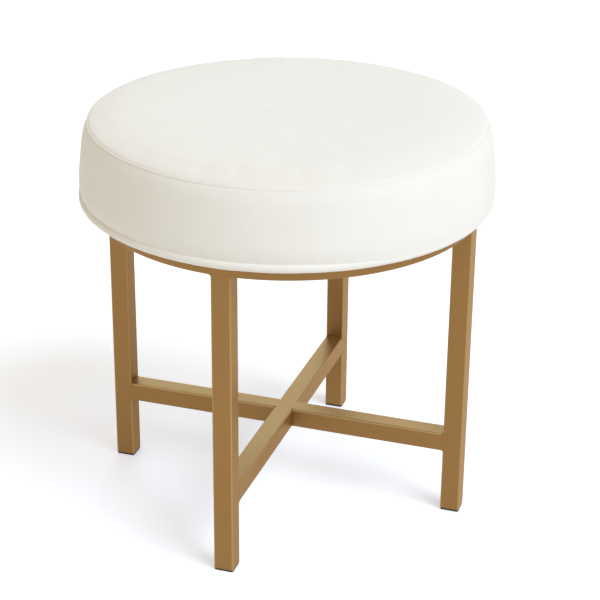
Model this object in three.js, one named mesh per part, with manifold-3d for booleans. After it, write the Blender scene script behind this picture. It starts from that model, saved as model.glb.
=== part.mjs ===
// A round upholstered vanity stool on a welded frame of gold painted square tube.
// Millimetres, +Z up. The origin is on the floor, under the middle of the seat.
// The front leg stands on -Y and the right leg on +X.
import * as THREE from "three";
import { mergeVertices } from "three/addons/utils/BufferGeometryUtils.js";
import Module from "manifold-3d";

// Overall
const SEAT_DIAMETER = 454.8; // at half the side band's height
const FRAME_HEIGHT = 368.5; // floor to the top of the hoop
const GAP = 0.3; // left between pieces that touch
const CUT_OVERRUN = 1; // how far a cutting shape runs past what it cuts

// Frame
const TUBE = 22.2; // outside of the square tube of the legs and stretchers
const TUBE_WALL = 1.2;
const TUBE_CORNER = 2; // outside corner radius
const SEAT_OVERHANG = 12.9; // seat band beyond the hoop
const HOOP_HEIGHT = 16;
const HOOP_WALL = 1.5;
const HOOP_EDGE = 1.2; // chamfer along the hoop's corners
const VENT_DIAMETER = 6; // drain hole in the hoop's underside, over each leg
const STRETCHER_CENTRE = 88.2; // height of the stretchers' middle line

// Leg glides, pushed into the open tube ends
const GLIDE_HEAD = 2;
const GLIDE_INSET = 0.3; // head inside the tube's outline, on each side
const GLIDE_EDGE = 0.7; // rounding of the head's edges
const GLIDE_PLUG = 14; // length inside the tube
const GLIDE_WALL = 2;

// Seat fixings
const TAB_THICKNESS = 3;
const TAB_WIDTH = 24;
const TAB_HOLE_SETBACK = 15; // hole centre inside the hoop's inner face
const BOLT_DIAMETER = 6;
const BOLT_HEAD_DIAMETER = 10.5;
const BOLT_HEAD_HEIGHT = 3.3;
const HEAD_FACE_SHARE = 0.7; // width of the head's flat face in its diameter
const HEAD_EDGE_SHARE = 0.3; // upright edge of the head in its height
const SOCKET_ACROSS = 4; // six sided socket, corner to corner
const SOCKET_DEPTH = 2;
const WASHER_DIAMETER = 14;
const WASHER_THICKNESS = 1.2;
const TEE_NUT_FLANGE = 18;
const TEE_NUT_FLANGE_THICKNESS = 1.5;
const TEE_NUT_WALL = 1;
const TEE_NUT_BARREL = 9;

// Seat base
const BOARD_THICKNESS = 12;
const BOARD_EDGE = 1.5; // chamfer of the board's rim
const HEM_WIDTH = 60; // cover turned under the board
const DUST_COVER_THICKNESS = 0.6;
const DUST_COVER_INSET = 6.3; // dust cover inside the hoop's inner face

// Cushion
const COVER = 1.2; // thickness of the cover cloth
const BATTING = 8; // wadding between the cover and the foam
const BAND_HEIGHT = 78; // bottom welt to top seam
const TOP_DRAW_IN = 9.2; // top seam inside the band's middle line
const LOW_DRAW_IN = 2.8; // band's foot inside its middle line
const CROWN_RISE = 17;
const PIPING_DIAMETER = 2.6;
const WELT_DIAMETER = 8.6;

// Counts and powers of the curves
const ROUND_STEPS = 60;
const FILL_STEPS = 30; // the hidden layers
const SMALL_STEPS = 12;
const SOCKET_SIDES = 6;
const CORNER_STEPS = 2;
const GLIDE_STEPS = 1;
const PIPING_SIDES = 6;
const WELT_SIDES = 8;
const BAND_RINGS = 7;
const CROWN_RINGS = 7;
const BULGE_POWER = 6; // how square the band's bulge is
const CROWN_POWER = 4; // how flat the crown is in its middle
const SHOULDER_POWER = 2; // how steeply the crown leaves the top seam
const CROWD_POWER = 2.4; // draws the crown's rings together at the rim

// Sizes that follow
const seatRadius = SEAT_DIAMETER / 2;
const hoopRadius = seatRadius - SEAT_OVERHANG;
const hoopInner = hoopRadius - TUBE;
const hoopUnderside = FRAME_HEIGHT - HOOP_HEIGHT;
const legCentre = hoopRadius - TUBE / 2;
const boltCircle = hoopInner - TAB_HOLE_SETBACK;
const boltHole = BOLT_DIAMETER + 2 * GAP;

const lowSeamRadius = seatRadius - LOW_DRAW_IN;
const topSeamRadius = seatRadius - TOP_DRAW_IN;
const pipingRadius = PIPING_DIAMETER / 2;
const weltRadius = WELT_DIAMETER / 2;
const weltLine = lowSeamRadius - COVER;
const boardRadius = weltLine - weltRadius - GAP;

const hemUnderside = FRAME_HEIGHT + GAP;
const hemTop = hemUnderside + COVER;
const boardUnderside = hemTop + GAP;
const boardTop = boardUnderside + BOARD_THICKNESS;
const dustUnderside = hemUnderside - GAP - DUST_COVER_THICKNESS;
const tabTop = dustUnderside - GAP;
const tabUnderside = tabTop - TAB_THICKNESS;
const washerUnderside = tabUnderside - GAP - WASHER_THICKNESS;
const boltSeat = washerUnderside - GAP;
const bandFoot = hemTop + weltRadius + GAP;
const topSeam = bandFoot + BAND_HEIGHT;

const sides = ["right", "back", "left", "front"];

const wasm = await Module();
wasm.setup();
const MERGE_DISTANCE = 1e-3;

// A closed geometry as a solid that can be joined and cut.
function solidOf(geometry) {
  const bare = geometry.clone();
  bare.deleteAttribute("normal");
  bare.deleteAttribute("uv");
  const merged = mergeVertices(bare, MERGE_DISTANCE);
  return new wasm.Manifold(
    new wasm.Mesh({
      numProp: 3,
      vertProperties: merged.attributes.position.array,
      triVerts: new Uint32Array(merged.index.array),
    }),
  );
}

function geometryOf(solid) {
  const mesh = solid.getMesh();
  return new THREE.BufferGeometry()
    .setAttribute("position", new THREE.BufferAttribute(mesh.vertProperties, 3))
    .setIndex(new THREE.BufferAttribute(mesh.triVerts, 1));
}

// Turns a profile of [radius, height] points about the Z axis.
function turned(profile, steps) {
  const points = profile.map(([radius, height]) => new THREE.Vector2(radius, height));
  return new THREE.LatheGeometry(points, steps).rotateX(Math.PI / 2);
}

// A ring or a washer: a closed rectangle turned about the Z axis.
function ring(inner, outer, low, high, steps) {
  const profile = [
    [inner, low],
    [outer, low],
    [outer, high],
    [inner, high],
    [inner, low],
  ];
  return turned(profile, steps);
}

// A solid cylinder on the Z axis.
function rod(radius, low, high, steps) {
  const profile = [
    [0, low],
    [radius, low],
    [radius, high],
    [0, high],
  ];
  return turned(profile, steps);
}

// A square outline with rounded corners, centred on the origin.
function roundedSquare(Outline, width, corner) {
  const half = width / 2;
  const straight = half - corner;
  const quarter = Math.PI / 2;
  const outline = new Outline();
  outline.moveTo(half, -straight);
  outline.lineTo(half, straight);
  outline.absarc(straight, straight, corner, 0, quarter);
  outline.lineTo(-straight, half);
  outline.absarc(-straight, straight, corner, quarter, 2 * quarter);
  outline.lineTo(-half, -straight);
  outline.absarc(-straight, -straight, corner, 2 * quarter, 3 * quarter);
  outline.lineTo(straight, -half);
  outline.absarc(straight, -straight, corner, 3 * quarter, 4 * quarter);
  return outline;
}

// Square tube with both ends open, from the origin along +Z.
function squareTube(length) {
  const wall = roundedSquare(THREE.Shape, TUBE, TUBE_CORNER);
  const bore = roundedSquare(THREE.Path, TUBE - 2 * TUBE_WALL, TUBE_CORNER - TUBE_WALL);
  wall.holes.push(bore);
  return new THREE.ExtrudeGeometry(wall, {
    depth: length,
    bevelEnabled: false,
    curveSegments: CORNER_STEPS,
  });
}

const stool = new THREE.Group();
stool.name = "vanity_stool";

const finishes = {
  gold_paint: { color: 0x98744a, roughness: 0.42, metalness: 0.55 },
  seat_fabric: { color: 0xf3f1eb, roughness: 0.85, metalness: 0 },
  batting: { color: 0xfafafa, roughness: 1, metalness: 0 },
  foam: { color: 0xf2e6bf, roughness: 0.95, metalness: 0 },
  plywood: { color: 0xc8a878, roughness: 0.75, metalness: 0 },
  dust_cloth: { color: 0x202020, roughness: 0.95, metalness: 0 },
  black_plastic: { color: 0x161616, roughness: 0.6, metalness: 0 },
  zinc_steel: { color: 0xb4b8bc, roughness: 0.35, metalness: 0.9 },
};

// Adds a named piece with a material of its own.
function add(name, geometry, finish, parent = stool) {
  const mesh = new THREE.Mesh(geometry, new THREE.MeshStandardMaterial(finishes[finish]));
  mesh.name = name;
  parent.add(mesh);
  return mesh;
}

// A group for each leg's side of the stool, in which +X points out over that leg.
const corners = sides.map((side, index) => {
  const corner = new THREE.Group();
  corner.rotation.z = (index * Math.PI) / 2;
  stool.add(corner);
  return { side, corner };
});

// The same solid with an upright round hole cut in it at each of the four sides.
function drilled(solid, radius, diameter, low, high) {
  return sides.reduce((left, side, index) => {
    const cutter = rod(diameter / 2, low, high, SMALL_STEPS);
    cutter.translate(radius, 0, 0).rotateZ((index * Math.PI) / 2);
    return left.subtract(solidOf(cutter));
  }, solid);
}

// Frame: hoop, legs and stretchers

// Section of the hoop with its corners cut off, as a closed profile.
function hoopProfile(inner, outer, low, high, edge) {
  return [
    [inner + edge, low],
    [outer - edge, low],
    [outer, low + edge],
    [outer, high - edge],
    [outer - edge, high],
    [inner + edge, high],
    [inner, high - edge],
    [inner, low + edge],
    [inner + edge, low],
  ];
}

function hoop() {
  const outside = hoopProfile(hoopInner, hoopRadius, hoopUnderside, FRAME_HEIGHT, HOOP_EDGE);
  const bore = ring(
    hoopInner + HOOP_WALL,
    hoopRadius - HOOP_WALL,
    hoopUnderside + HOOP_WALL,
    FRAME_HEIGHT - HOOP_WALL,
    ROUND_STEPS,
  );
  const hollow = solidOf(turned(outside, ROUND_STEPS)).subtract(solidOf(bore));
  const ventFoot = hoopUnderside - CUT_OVERRUN;
  const ventTop = hoopUnderside + HOOP_WALL + CUT_OVERRUN;
  return geometryOf(drilled(hollow, legCentre, VENT_DIAMETER, ventFoot, ventTop));
}

add("frame_hoop", hoop(), "gold_paint");

for (const { side, corner } of corners) {
  const leg = add(
    `leg_${side}`,
    squareTube(hoopUnderside - GAP - GLIDE_HEAD - GAP),
    "gold_paint",
    corner,
  );
  leg.position.set(legCentre, 0, GLIDE_HEAD + GAP);
}

const throughLength = 2 * (hoopInner - GAP);
const through = add("stretcher_through", squareTube(throughLength), "gold_paint");
through.rotation.x = Math.PI / 2;
through.position.set(0, throughLength / 2, STRETCHER_CENTRE);

const halfStart = TUBE / 2 + GAP;
for (const { side, corner } of corners) {
  if (side === "front" || side === "back") continue;
  const half = add(
    `stretcher_half_${side}`,
    squareTube(hoopInner - GAP - halfStart),
    "gold_paint",
    corner,
  );
  half.rotation.y = Math.PI / 2;
  half.position.set(halfStart, 0, STRETCHER_CENTRE);
}

// Leg glides

// A pad under the tube's end, with a hollow plug that fills the tube.
function glide() {
  const headWidth = TUBE - 2 * GLIDE_INSET;
  const head = new THREE.ExtrudeGeometry(roundedSquare(THREE.Shape, headWidth, TUBE_CORNER), {
    depth: GLIDE_HEAD - 2 * GLIDE_EDGE,
    bevelEnabled: true,
    bevelThickness: GLIDE_EDGE,
    bevelSize: GLIDE_EDGE,
    bevelOffset: -GLIDE_EDGE,
    bevelSegments: GLIDE_STEPS,
    curveSegments: GLIDE_STEPS,
  }).translate(0, 0, GLIDE_EDGE);
  const plugWidth = TUBE - 2 * TUBE_WALL - 2 * GAP;
  const plugCorner = TUBE_CORNER - TUBE_WALL;
  const plugShape = roundedSquare(THREE.Shape, plugWidth, plugCorner);
  plugShape.holes.push(roundedSquare(THREE.Path, plugWidth - 2 * GLIDE_WALL, plugCorner));
  const root = GLIDE_HEAD / 2;
  const plug = new THREE.ExtrudeGeometry(plugShape, {
    depth: GLIDE_HEAD + GLIDE_PLUG - root,
    bevelEnabled: false,
    curveSegments: GLIDE_STEPS,
  }).translate(0, 0, root);
  return geometryOf(solidOf(head).add(solidOf(plug)));
}

for (const { side, corner } of corners) {
  const pad = add(`leg_glide_${side}`, glide(), "black_plastic", corner);
  pad.position.set(legCentre, 0, 0);
}

// Seat fixings

// A flat lug on the hoop's inner face, with a round end and a bolt hole.
function tab() {
  const half = TAB_WIDTH / 2;
  const outerEnd = Math.sqrt(hoopInner ** 2 - half ** 2) - GAP;
  const shape = new THREE.Shape();
  shape.moveTo(boltCircle, -half);
  shape.lineTo(outerEnd, -half);
  shape.lineTo(outerEnd, half);
  shape.lineTo(boltCircle, half);
  shape.absarc(boltCircle, 0, half, Math.PI / 2, (3 * Math.PI) / 2);
  const hole = new THREE.Path();
  hole.absarc(boltCircle, 0, boltHole / 2, 0, 2 * Math.PI);
  shape.holes.push(hole);
  return new THREE.ExtrudeGeometry(shape, {
    depth: TAB_THICKNESS,
    bevelEnabled: false,
    curveSegments: SMALL_STEPS / 2,
  }).translate(0, 0, tabUnderside);
}

// A button head bolt with a six sided socket, driven up from below.
function bolt() {
  const headRadius = BOLT_HEAD_DIAMETER / 2;
  const headFoot = boltSeat - BOLT_HEAD_HEIGHT;
  const shoulder = boltSeat - BOLT_HEAD_HEIGHT * HEAD_EDGE_SHARE;
  const profile = [
    [0, headFoot],
    [headRadius * HEAD_FACE_SHARE, headFoot],
    [headRadius, shoulder],
    [headRadius, boltSeat],
    [BOLT_DIAMETER / 2, boltSeat],
    [BOLT_DIAMETER / 2, boardTop],
    [0, boardTop],
  ];
  const socketLow = headFoot - CUT_OVERRUN;
  const socket = rod(SOCKET_ACROSS / 2, socketLow, headFoot + SOCKET_DEPTH, SOCKET_SIDES);
  return geometryOf(solidOf(turned(profile, SMALL_STEPS)).subtract(solidOf(socket)));
}

// A flange on the board with a threaded barrel down through it.
function teeNut() {
  const bore = boltHole / 2;
  const barrel = bore + TEE_NUT_WALL;
  const flange = TEE_NUT_FLANGE / 2;
  const flangeFoot = boardTop - TEE_NUT_FLANGE_THICKNESS;
  const foot = boardTop - TEE_NUT_BARREL;
  const profile = [
    [bore, foot],
    [barrel, foot],
    [barrel, flangeFoot],
    [flange, flangeFoot],
    [flange, boardTop],
    [bore, boardTop],
    [bore, foot],
  ];
  return turned(profile, SMALL_STEPS);
}

for (const { side, corner } of corners) {
  add(`mounting_tab_${side}`, tab(), "gold_paint", corner);
  const washer = add(
    `seat_washer_${side}`,
    ring(
      boltHole / 2,
      WASHER_DIAMETER / 2,
      washerUnderside,
      washerUnderside + WASHER_THICKNESS,
      SMALL_STEPS,
    ),
    "zinc_steel",
    corner,
  );
  const fixings = [
    washer,
    add(`seat_bolt_${side}`, bolt(), "zinc_steel", corner),
    add(`seat_tee_nut_${side}`, teeNut(), "zinc_steel", corner),
  ];
  for (const fixing of fixings) fixing.position.x = boltCircle;
}

// Seat base: board, hem of the cover and dust cover

function board() {
  const low = boardUnderside;
  const profile = [
    [0, low],
    [boardRadius - BOARD_EDGE, low],
    [boardRadius, low + BOARD_EDGE],
    [boardRadius, boardTop - BOARD_EDGE],
    [boardRadius - BOARD_EDGE, boardTop],
    [0, boardTop],
  ];
  const disc = solidOf(turned(profile, ROUND_STEPS));
  const cutTop = boardTop + CUT_OVERRUN;
  const barrelHole = boltHole + 2 * TEE_NUT_WALL + 2 * GAP;
  const bored = drilled(disc, boltCircle, barrelHole, low - CUT_OVERRUN, cutTop);
  const pocket = TEE_NUT_FLANGE + 2 * GAP;
  const pocketFoot = boardTop - TEE_NUT_FLANGE_THICKNESS - GAP;
  return geometryOf(drilled(bored, boltCircle, pocket, pocketFoot, cutTop));
}

add("seat_board", board(), "plywood");

// Cloth under the board, pierced by the four bolts.
function pierced(cloth, low, high) {
  const solid = solidOf(cloth);
  return geometryOf(
    drilled(solid, boltCircle, boltHole, low - CUT_OVERRUN, high + CUT_OVERRUN),
  );
}

const hem = ring(boardRadius - HEM_WIDTH, boardRadius, hemUnderside, hemTop, ROUND_STEPS);
add("seat_cover_hem", pierced(hem, hemUnderside, hemTop), "seat_fabric");

const dustTop = dustUnderside + DUST_COVER_THICKNESS;
const dustCover = rod(hoopInner - DUST_COVER_INSET, dustUnderside, dustTop, ROUND_STEPS);
add("seat_dust_cover", pierced(dustCover, dustUnderside, dustTop), "dust_cloth");

// Cushion: rings of the cover's outside set the shape, and each layer lies a depth inside them

// Rings up the side band, as [radius, height], closest together at its two seams.
const bandRings = Array.from({ length: BAND_RINGS + 1 }, (_, index) => {
  const share = (1 - Math.cos((index / BAND_RINGS) * Math.PI)) / 2;
  const straight = THREE.MathUtils.lerp(lowSeamRadius, topSeamRadius, share);
  const bulge = seatRadius - (lowSeamRadius + topSeamRadius) / 2;
  const radius = straight + bulge * (1 - Math.abs(2 * share - 1) ** BULGE_POWER);
  return [radius, bandFoot + BAND_HEIGHT * share];
});

// Rings of the crown, from the top seam in to the axis.
const crownRings = Array.from({ length: CROWN_RINGS + 1 }, (_, index) => {
  const radius = topSeamRadius * (1 - (index / CROWN_RINGS) ** CROWD_POWER);
  const fall = (radius / topSeamRadius) ** CROWN_POWER;
  const rise = CROWN_RISE * (1 - fall) ** (1 / SHOULDER_POWER);
  return [radius, topSeam + rise];
});

// Where a run of rings has a value in one coordinate, its other coordinate.
function across(rings, known, value) {
  const passed = rings.findIndex(
    (point, index) =>
      index > 0 && (value - point[known]) * (value - rings[index - 1][known]) <= 0,
  );
  const [start, end] = [rings[passed - 1], rings[passed]];
  const share = (value - start[known]) / (end[known] - start[known]);
  return THREE.MathUtils.lerp(start[1 - known], end[1 - known], share);
}

// Points of a layer's side, from the foot up.
function sidePoints(depth, foot, top) {
  const between = bandRings.map(([, height]) => height).filter((z) => z > foot && z < top);
  return [foot, ...between, top].map((z) => [across(bandRings, 1, z) - depth, z]);
}

// Points of a layer's crown, from its rim in to the axis.
function crownPoints(depth, rim) {
  const inside = crownRings.map(([radius]) => radius).filter((radius) => radius < rim);
  return [rim, ...inside].map((radius) => [radius, across(crownRings, 0, radius) - depth]);
}

// The foam's outside, or the wadding's inside: from its foot up over the shoulder to the axis.
function layerPoints(depth, foot) {
  return [
    ...sidePoints(depth, foot, topSeam - depth),
    ...crownPoints(depth, topSeamRadius - depth),
  ];
}

const fillFoot = boardTop + GAP;
const battingDepth = COVER + GAP;
const foamDepth = battingDepth + BATTING + GAP;
const bandTop = topSeam - pipingRadius - GAP;
const panelRim = topSeamRadius - pipingRadius - GAP;

add(
  "seat_foam",
  turned([[0, fillFoot], ...layerPoints(foamDepth, fillFoot)], FILL_STEPS),
  "foam",
);

// The wadding is drawn in under the piping, where the band ends and the panel starts.
const wadding = [
  ...layerPoints(battingDepth + BATTING, fillFoot).reverse(),
  ...sidePoints(battingDepth, fillFoot, bandTop),
  [panelRim, bandTop],
  ...crownPoints(battingDepth, panelRim),
];
add("seat_batting", turned(wadding, FILL_STEPS), "batting");

const panel = [...crownPoints(COVER, panelRim).reverse(), ...crownPoints(0, panelRim)];
add("seat_top_panel", turned(panel, ROUND_STEPS), "seat_fabric");

const bandOutside = sidePoints(0, bandFoot, bandTop);
const bandInside = sidePoints(COVER, bandFoot, bandTop).reverse();
const band = [...bandOutside, ...bandInside, bandOutside[0]];
add("seat_side_band", turned(band, ROUND_STEPS), "seat_fabric");

const piping = new THREE.TorusGeometry(topSeamRadius, pipingRadius, PIPING_SIDES, ROUND_STEPS);
add("seat_top_piping", piping.translate(0, 0, topSeam), "seat_fabric");

const welt = new THREE.TorusGeometry(weltLine, weltRadius, WELT_SIDES, ROUND_STEPS);
add("seat_bottom_welt", welt.translate(0, 0, hemTop), "seat_fabric");

export default stool;
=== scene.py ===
"""The looks of a round upholstered vanity stool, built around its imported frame.

It is laid out as a Blender add-on and is run as a script. Everything is in metres, with
+Z up, the origin on the floor under the middle of the seat, the front leg on -Y and the
right leg on +X.
"""

import math

import bmesh
import bpy
from mathutils import Matrix, Vector, noise


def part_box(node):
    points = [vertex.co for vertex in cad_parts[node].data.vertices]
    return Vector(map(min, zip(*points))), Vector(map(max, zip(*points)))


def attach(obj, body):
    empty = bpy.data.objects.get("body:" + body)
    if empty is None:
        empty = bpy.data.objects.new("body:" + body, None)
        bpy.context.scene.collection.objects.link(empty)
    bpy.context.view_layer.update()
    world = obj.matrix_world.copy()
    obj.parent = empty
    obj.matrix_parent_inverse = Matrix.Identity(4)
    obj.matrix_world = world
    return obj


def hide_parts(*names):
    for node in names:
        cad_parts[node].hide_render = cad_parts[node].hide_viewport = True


bl_info = {
    "name": "Vanity Stool",
    "version": (1, 0, 0),
    "blender": (4, 5, 0),
    "location": "View3D > Sidebar > Stool",
    "description": "Builds a round upholstered vanity stool on a gold painted tube frame",
    "category": "Add Mesh",
}

MM = 0.001
TINY = 1e-6
QUARTER = math.pi / 2
X, Y, Z = range(3)
SIDES = ("right", "back", "left", "front")

# Room between two pieces, radius of the holes that the bolts pass through, and the angle
# from which an edge is shaded sharp, on hard pieces and on soft ones
GAP = 0.3 * MM
BOLT_HOLE = 3.3 * MM
HARD_ANGLE = math.radians(32)
SOFT_ANGLE = math.radians(60)

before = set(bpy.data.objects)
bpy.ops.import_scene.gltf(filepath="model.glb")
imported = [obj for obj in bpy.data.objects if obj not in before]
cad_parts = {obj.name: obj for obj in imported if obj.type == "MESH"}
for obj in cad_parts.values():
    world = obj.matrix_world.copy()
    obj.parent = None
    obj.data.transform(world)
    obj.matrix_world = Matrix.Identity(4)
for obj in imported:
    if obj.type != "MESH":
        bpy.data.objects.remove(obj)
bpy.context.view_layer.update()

# Places and sizes that the frame gives
hoop_low, hoop_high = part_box("frame_hoop")
leg_low, leg_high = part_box("leg_right")
half_low, half_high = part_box("stretcher_half_right")
through_low, through_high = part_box("stretcher_through")
glide_low, glide_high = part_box("leg_glide_right")
tab_low, tab_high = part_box("mounting_tab_right")
washer_low, washer_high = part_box("seat_washer_right")
bolt_low, bolt_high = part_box("seat_bolt_right")
hem_low, hem_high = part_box("seat_cover_hem")
dust_low, dust_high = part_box("seat_dust_cover")
board_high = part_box("seat_board")[1]
foam_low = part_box("seat_foam")[0]
panel_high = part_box("seat_top_panel")[1]
band_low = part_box("seat_side_band")[0]
piping_low, piping_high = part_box("seat_top_piping")
welt_low, welt_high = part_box("seat_bottom_welt")

tube_width = leg_high.x - leg_low.x
hoop_radius = hoop_high.x
hoop_inner = hoop_radius - tube_width
bolt_radius = (bolt_low.x + bolt_high.x) / 2
piping_radius = (piping_high.z - piping_low.z) / 2
seam_level = (piping_low.z + piping_high.z) / 2

# The material of each slot, made by the first step
finishes = {}


class StoolFrameSizes(bpy.types.PropertyGroup):
    """Sizes of the metal frame and its fittings."""

    wall: bpy.props.FloatProperty(
        name="Tube wall", description="Wall thickness of the square tube",
        default=1.2 * MM, min=0.5 * MM, unit="LENGTH")
    corner: bpy.props.FloatProperty(
        name="Tube corner", description="Outside corner radius of the square tube",
        default=2 * MM, min=0.2 * MM, unit="LENGTH")
    hoop_edge: bpy.props.FloatProperty(
        name="Hoop edge", description="Rounding of the hoop's four edges",
        default=1.7 * MM, min=0.2 * MM, unit="LENGTH")
    end_edge: bpy.props.FloatProperty(
        name="Cut end", description="Rounding of a leg's cut lower end",
        default=0.35 * MM, min=0.05 * MM, unit="LENGTH")
    weld: bpy.props.FloatProperty(
        name="Weld", description="Reach of a weld's fillet from the joint",
        default=1.8 * MM, min=0.3 * MM, unit="LENGTH")
    weld_skin: bpy.props.FloatProperty(
        name="Weld skin", description="How far a dressed weld stands proud of a flush face",
        default=0.05 * MM, min=0.0, unit="LENGTH")


class StoolSeatSizes(bpy.types.PropertyGroup):
    """Sizes of the seat and of its cloth."""

    cover: bpy.props.FloatProperty(
        name="Cover", description="Thickness of the seat's cloth",
        default=1.2 * MM, min=0.3 * MM, unit="LENGTH")
    seam_radius: bpy.props.FloatProperty(
        name="Top seam", description="Radius of the seam between top panel and side band",
        default=218.2 * MM, unit="LENGTH")
    foot_radius: bpy.props.FloatProperty(
        name="Band foot", description="Radius of the side band at its lower seam",
        default=227.3 * MM, unit="LENGTH")
    widest_radius: bpy.props.FloatProperty(
        name="Widest", description="Radius of the side band at half its height",
        default=227.1 * MM, unit="LENGTH")
    welt_line: bpy.props.FloatProperty(
        name="Welt circle", description="Radius of the circle that the welt's middle follows",
        default=226.0 * MM, unit="LENGTH")
    welt_thick: bpy.props.FloatProperty(
        name="Welt", description="Radius of the welt itself, with its pile",
        default=4.9 * MM, min=1 * MM, unit="LENGTH")
    welt_lift: bpy.props.FloatProperty(
        name="Welt lift", description="How far the welt stands above its solid",
        default=1.6 * MM, unit="LENGTH")
    sway: bpy.props.FloatProperty(
        name="Seam sway", description="How far the top seam wanders up and down",
        default=1.3 * MM, min=0.0, unit="LENGTH")
    sway_turn: bpy.props.FloatProperty(
        name="Sway turn", description="Turn from the right leg where the seam is highest",
        default=math.radians(210), subtype="ANGLE")
    sunk: bpy.props.FloatProperty(
        name="Sunk piping", description="How far the piping sinks into its seam, at the most",
        default=0.8 * MM, min=0.0, unit="LENGTH")
    sunk_turn: bpy.props.FloatProperty(
        name="Sunk turn", description="Turn from the right leg where the piping sinks most",
        default=math.radians(0), subtype="ANGLE")
    shut: bpy.props.FloatProperty(
        name="Shut seam", description="How far the cloth closes over the piping, at the most",
        default=0.8 * MM, min=0.0, unit="LENGTH")
    tuck: bpy.props.FloatProperty(
        name="Welt tuck", description="How far the welt is tucked in, at the most",
        default=2.0 * MM, min=0.0, unit="LENGTH")
    tuck_turn: bpy.props.FloatProperty(
        name="Tuck turn", description="Turn from the right leg where the tuck is deepest",
        default=math.radians(10), subtype="ANGLE")
    tuck_sag: bpy.props.FloatProperty(
        name="Tuck sag", description="How much lower the tucked welt lies",
        default=0.8 * MM, min=0.0, unit="LENGTH")
    tuck_cover: bpy.props.FloatProperty(
        name="Tuck cover", description="How far the band comes down over the tucked welt",
        default=3.5 * MM, min=0.0, unit="LENGTH")
    tuck_flare: bpy.props.FloatProperty(
        name="Tuck flare", description="How far the band's foot spreads over the tucked welt",
        default=1.4 * MM, min=0.0, unit="LENGTH")
    closing: bpy.props.FloatProperty(
        name="Closing seam", description="Depth of the side band's closing seam, at the back",
        default=0.9 * MM, min=0.0, unit="LENGTH")
    overhang: bpy.props.FloatProperty(
        name="Shoulder", description="How far the crown's shoulder stands out over its seam",
        default=1.5 * MM, min=0.0, unit="LENGTH")
    puff: bpy.props.FloatProperty(
        name="Puff", description="How far the filling may push the cloth out of its plain form",
        default=1.0 * MM, min=0.0, unit="LENGTH")
    gather: bpy.props.FloatProperty(
        name="Gather", description="Share by which the cloth is longer than its seams",
        default=0.0013, min=0.0, max=0.1)


class StoolFinishes(bpy.types.PropertyGroup):
    """Colours of the stool's finishes."""

    paint: bpy.props.FloatVectorProperty(
        name="Gold paint", description="Colour of the frame's paint", subtype="COLOR",
        size=3, min=0.0, max=1.0, default=(0.313, 0.171, 0.057))
    # Painted highlight: a paler gold mixed into the tubes' corners, standing in for the lamps'
    # gloss along them
    painted_highlight: bpy.props.FloatVectorProperty(
        name="Painted highlight", description="Colour of the paint where it thins over a corner",
        subtype="COLOR", size=3, min=0.0, max=1.0, default=(0.58, 0.385, 0.165))
    cloth: bpy.props.FloatVectorProperty(
        name="Cloth", description="Colour of the seat's cloth", subtype="COLOR",
        size=3, min=0.0, max=1.0, default=(0.905, 0.895, 0.87))
    plastic: bpy.props.FloatVectorProperty(
        name="Glides", description="Colour of the leg glides", subtype="COLOR",
        size=3, min=0.0, max=1.0, default=(0.012, 0.012, 0.013))
    zinc: bpy.props.FloatVectorProperty(
        name="Zinc", description="Colour of the plated fixings", subtype="COLOR",
        size=3, min=0.0, max=1.0, default=(0.62, 0.64, 0.66))


class StoolStage(bpy.types.PropertyGroup):
    """The camera's place and lens."""

    azimuth: bpy.props.FloatProperty(
        name="Azimuth", description="Camera's turn round the stool from the front",
        default=math.radians(17.93), subtype="ANGLE")
    elevation: bpy.props.FloatProperty(
        name="Elevation", description="Camera's angle above the level",
        default=math.radians(24.587), subtype="ANGLE")
    roll: bpy.props.FloatProperty(
        name="Roll", description="Camera's turn about its line of sight",
        default=math.radians(0.525), subtype="ANGLE")
    distance: bpy.props.FloatProperty(
        name="Distance", description="Camera to the point it looks at",
        default=2.0424, min=0.1, unit="LENGTH")
    aim_height: bpy.props.FloatProperty(
        name="Aim height", description="Height of the point that the camera looks at",
        default=0.2339, unit="LENGTH")
    aim_right: bpy.props.FloatProperty(
        name="Aim right", description="How far right of the stool's middle the camera looks",
        default=0.01505, unit="LENGTH")
    lens: bpy.props.FloatProperty(
        name="Lens", description="Focal length of the camera, in millimetres",
        default=107.12, min=10.0)


def settings(name):
    """A group of the stool's properties."""
    return getattr(bpy.context.scene, name)


def shown(name, data):
    """A new object in the scene."""
    made = bpy.data.objects.new(name, data)
    bpy.context.scene.collection.objects.link(made)
    return made


# Modelling helpers

def begin(add, scale=(1, 1, 1), **options):
    """Adds a primitive with nothing else selected, bakes its place and opens it to edit."""
    if bpy.context.object and bpy.context.object.mode != "OBJECT":
        bpy.ops.object.mode_set(mode="OBJECT")
    bpy.ops.object.select_all(action="DESELECT")
    add(**options)
    piece = bpy.context.active_object
    piece.scale = scale
    bpy.ops.object.transform_apply(location=True, rotation=True, scale=True)
    bpy.ops.object.mode_set(mode="EDIT")
    bpy.ops.mesh.select_mode(type="FACE")
    bpy.ops.mesh.select_all(action="DESELECT")
    return piece


def select_all():
    """Selects everything in the open piece."""
    bpy.ops.mesh.select_all(action="SELECT")


def begin_box(low, high):
    """Opens a box between two corners."""
    return begin(bpy.ops.mesh.primitive_cube_add, size=1, location=(low + high) / 2,
                 scale=high - low)


def begin_disc(radius, height, around, rings=0, width=0.0):
    """Opens a flat disc with rings cut inwards from its rim, its middle left selected."""
    disc = begin(bpy.ops.mesh.primitive_circle_add, vertices=around, radius=radius,
                 fill_type="NGON", location=(0, 0, height))
    select_all()
    for _ in range(rings):
        bpy.ops.mesh.inset(thickness=width)
    return disc


def is_level(a, b):
    """Tells whether an edge between two points is level."""
    return abs(a.z - b.z) < TINY


def is_upright(a, b):
    """Tells whether an edge between two points rises."""
    return not is_level(a, b)


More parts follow.
